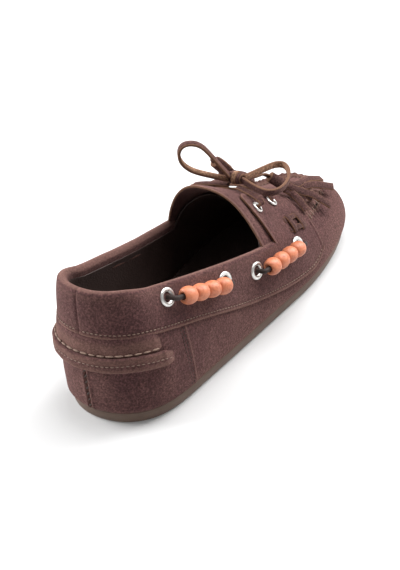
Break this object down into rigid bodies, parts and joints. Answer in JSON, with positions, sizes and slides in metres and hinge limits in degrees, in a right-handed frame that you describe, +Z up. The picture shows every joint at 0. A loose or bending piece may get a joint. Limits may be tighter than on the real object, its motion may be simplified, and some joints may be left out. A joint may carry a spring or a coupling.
{
  "type": "moccasin",
  "caption": "Brown suede driving moccasin with a rubber sole, a leather lace bow with tassels, metal eyelets and wooden beads on a thong along the inner side.",
  "frame": {"origin": "on the ground under the middle of the sole", "axes": "+Y towards the toe, +X towards the inner side of a left foot, +Z up"},
  "size_m": [0.095, 0.2544, 0.1063],
  "materials": {
    "suede": "matte",
    "sole_rubber": "matte",
    "lining_leather": "satin",
    "sole_foam": "matte",
    "board": "matte",
    "eyelet_metal": "polished",
    "bead_wood": "satin",
    "thong_leather": "satin",
    "lace_leather": "matte"
  },
  "bodies": {
    "root": {"bead_eyelets_right": "eyelet_metal", "bead_thong_right": "thong_leather", "bow_loop_left": "lace_leather", "bow_loop_right": "lace_leather", "collar_band_left": "suede", "collar_band_right": "suede", "collar_foam_left": "sole_foam", "collar_foam_right": "sole_foam", "counter_stiffener": "board", "facing_left": "suede", "facing_right": "suede", "filler": "sole_foam", "heel_counter_left": "suede", "heel_counter_right": "suede", "heel_lip": "suede", "heel_strip": "suede", "insole_board": "board", "lace_eyelets_left": "eyelet_metal", "lace_eyelets_right": "eyelet_metal", "lace_knot": "lace_leather", "lace_runs": "lace_leather", "outsole": "sole_rubber", "plug": "suede", "plug_lining": "lining_leather", "quarter_lining_left": "lining_leather", "quarter_lining_right": "lining_leather", "sock_liner": "lining_leather", "toe_lining": "lining_leather", "toe_puff": "board", "tongue": "suede", "topline_edge_left": "suede", "topline_edge_right": "suede", "vamp_lining": "lining_leather", "wall_panel": "suede", "woven_tabs": "suede"},
    "bead_front_1_right": {"bead_front_1_right": "bead_wood"},
    "bead_front_2_right": {"bead_front_2_right": "bead_wood"},
    "bead_front_3_right": {"bead_front_3_right": "bead_wood"},
    "bead_front_4_right": {"bead_front_4_right": "bead_wood"},
    "bead_rear_1_right": {"bead_rear_1_right": "bead_wood"},
    "bead_rear_2_right": {"bead_rear_2_right": "bead_wood"},
    "bead_rear_3_right": {"bead_rear_3_right": "bead_wood"},
    "bead_rear_4_right": {"bead_rear_4_right": "bead_wood"},
    "tassel_left": {"lace_tail_left": "lace_leather", "tassel_cap_left": "lace_leather", "tassel_fringe_left": "lace_leather"},
    "tassel_right": {"lace_tail_right": "lace_leather", "tassel_cap_right": "lace_leather", "tassel_fringe_right": "lace_leather"}
  },
  "joints": [
    {"name": "bead_rear_1_right_slide", "type": "slide", "parent": "root", "child": "bead_rear_1_right", "axis": [-0.1192, -0.9402, 0.3189], "range_m": [0, 0.0015]},
    {"name": "bead_rear_2_right_slide", "type": "slide", "parent": "root", "child": "bead_rear_2_right", "axis": [-0.1192, -0.9402, 0.3189], "range_m": [0, 0.0015]},
    {"name": "bead_rear_3_right_slide", "type": "slide", "parent": "root", "child": "bead_rear_3_right", "axis": [-0.1192, -0.9402, 0.3189], "range_m": [0, 0.0015]},
    {"name": "bead_rear_4_right_slide", "type": "slide", "parent": "root", "child": "bead_rear_4_right", "axis": [-0.1192, -0.9402, 0.3189], "range_m": [0, 0.0015]},
    {"name": "bead_front_1_right_slide", "type": "slide", "parent": "root", "child": "bead_front_1_right", "axis": [-0.0414, 0.9855, -0.1644], "range_m": [0, 0.0018]},
    {"name": "bead_front_2_right_slide", "type": "slide", "parent": "root", "child": "bead_front_2_right", "axis": [-0.0414, 0.9855, -0.1644], "range_m": [0, 0.0018]},
    {"name": "bead_front_3_right_slide", "type": "slide", "parent": "root", "child": "bead_front_3_right", "axis": [-0.0414, 0.9855, -0.1644], "range_m": [0, 0.0018]},
    {"name": "bead_front_4_right_slide", "type": "slide", "parent": "root", "child": "bead_front_4_right", "axis": [-0.0414, 0.9855, -0.1644], "range_m": [0, 0.0018]},
    {"name": "tassel_right_swing", "type": "hinge", "parent": "root", "child": "tassel_right", "pos_m": [0.0012, 0.0358, 0.075], "axis": [1, 0, 0], "range_deg": [0, 10]},
    {"name": "tassel_left_swing", "type": "hinge", "parent": "root", "child": "tassel_left", "pos_m": [-0.0042, 0.033, 0.0808], "axis": [0.5708, 0.8211, 0], "range_deg": [0, 30]}
  ],
  "couplings": [
    {"joint": "bead_rear_1_right_slide", "follows": "bead_rear_4_right_slide", "ratio": 1},
    {"joint": "bead_rear_2_right_slide", "follows": "bead_rear_4_right_slide", "ratio": 1},
    {"joint": "bead_rear_3_right_slide", "follows": "bead_rear_4_right_slide", "ratio": 1},
    {"joint": "bead_front_1_right_slide", "follows": "bead_front_4_right_slide", "ratio": 1},
    {"joint": "bead_front_2_right_slide", "follows": "bead_front_4_right_slide", "ratio": 1},
    {"joint": "bead_front_3_right_slide", "follows": "bead_front_4_right_slide", "ratio": 1}
  ]
}
